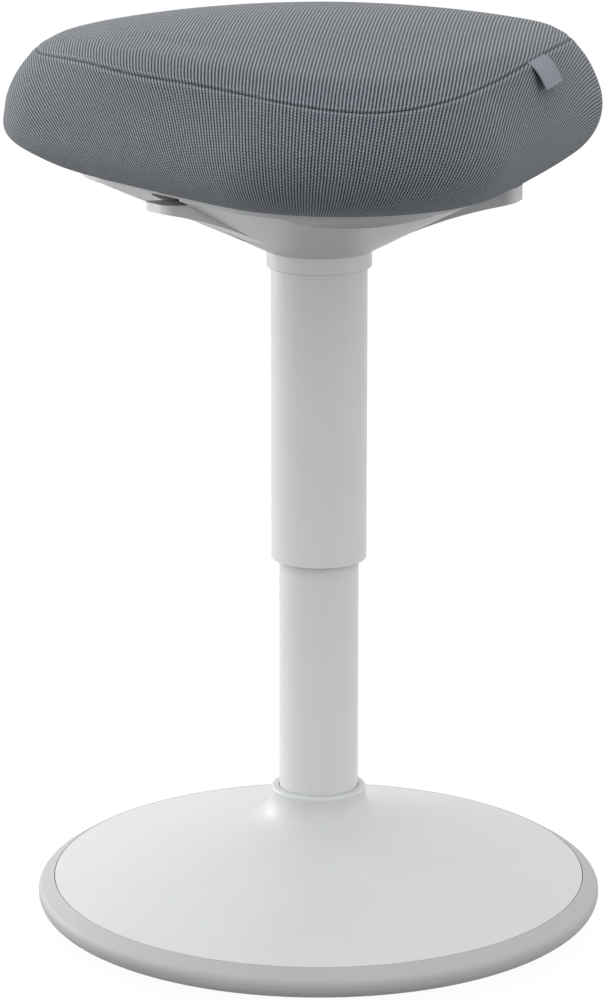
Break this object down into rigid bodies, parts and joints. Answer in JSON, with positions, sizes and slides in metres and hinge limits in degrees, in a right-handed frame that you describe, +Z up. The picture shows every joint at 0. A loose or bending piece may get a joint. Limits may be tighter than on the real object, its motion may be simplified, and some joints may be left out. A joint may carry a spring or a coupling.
{
  "type": "wobble stool",
  "caption": "Round-based rocking stool with a rounded-triangle cushioned seat on a moulded shell, a telescopic gas-spring column and a release lever.",
  "frame": {"origin": "on the floor under the column's axis, at the middle of the foot's flat face", "axes": "+Z up along the column, -Y towards the seat's front corner, +X to the sitter's left when they face the front corner"},
  "size_m": [0.374, 0.3795, 0.577],
  "materials": {
    "shell_plastic": "satin",
    "base_plastic": "satin",
    "tube_paint": "satin",
    "cushion_knit": "matte",
    "tag_weave": "matte",
    "foam": "matte",
    "plywood": "matte",
    "foot_rubber": "matte",
    "ballast_iron": "matte",
    "hub_alloy": "satin",
    "zinc_steel": "satin",
    "black_steel": "satin",
    "bearing_steel": "polished",
    "bush_plastic": "matte"
  },
  "bodies": {
    "base": {"rocker_foot": "foot_rubber", "ballast_plate": "ballast_iron", "base_hub": "hub_alloy", "hub_bolts": "zinc_steel", "base_cover": "base_plastic", "base_screws": "zinc_steel", "rim_ring": "base_plastic", "column_tube": "tube_paint", "guide_bush": "bush_plastic", "thrust_washer_lower": "zinc_steel"},
    "bearing": {"bearing_cage": "bush_plastic", "bearing_balls": "bearing_steel"},
    "rod": {"piston_rod": "bearing_steel", "piston": "bush_plastic", "thrust_washer_upper": "zinc_steel", "retaining_clip": "zinc_steel"},
    "seat": {"gas_cylinder": "black_steel", "rod_seal": "bush_plastic", "taper_socket": "zinc_steel", "seat_pan": "black_steel", "sleeve_hub": "bush_plastic", "column_sleeve": "tube_paint", "sleeve_glide": "bush_plastic", "collar_ring": "shell_plastic", "seat_shell": "shell_plastic", "seat_bolts": "zinc_steel", "t_nuts": "zinc_steel", "shell_screws": "zinc_steel", "seat_board": "plywood", "foam_pad": "foam", "cover_top": "cushion_knit", "cover_side": "cushion_knit", "side_tag": "tag_weave", "lever_bracket": "zinc_steel", "pivot_pin": "zinc_steel"},
    "lever": {"release_lever": "shell_plastic"},
    "button": {"release_button": "zinc_steel"}
  },
  "joints": [
    {"name": "seat_swivel", "type": "hinge", "parent": "base", "child": "rod", "pos_m": [0, 0, 0], "axis": [0, 0, 1], "continuous": true},
    {"name": "cage_spin", "type": "hinge", "parent": "base", "child": "bearing", "pos_m": [0, 0, 0], "axis": [0, 0, 1], "continuous": true},
    {"name": "height_slide", "type": "slide", "parent": "rod", "child": "seat", "axis": [0, 0, 1], "range_m": [-0.01, 0.17]},
    {"name": "lever_pivot", "type": "hinge", "parent": "seat", "child": "lever", "pos_m": [-0.05196, -0.03, 0.466], "axis": [-0.5, 0.866, 0], "range_deg": [0, 2.4], "stiffness_Nm_per_rad": 6, "springref_deg": -1.72},
    {"name": "button_press", "type": "slide", "parent": "seat", "child": "button", "axis": [0, 0, 1], "range_m": [-0.0026, 0]}
  ],
  "couplings": [
    {"joint": "cage_spin", "follows": "seat_swivel", "ratio": 0.5},
    {"joint": "button_press", "follows": "lever_pivot", "m_per_rad": -0.06}
  ]
}
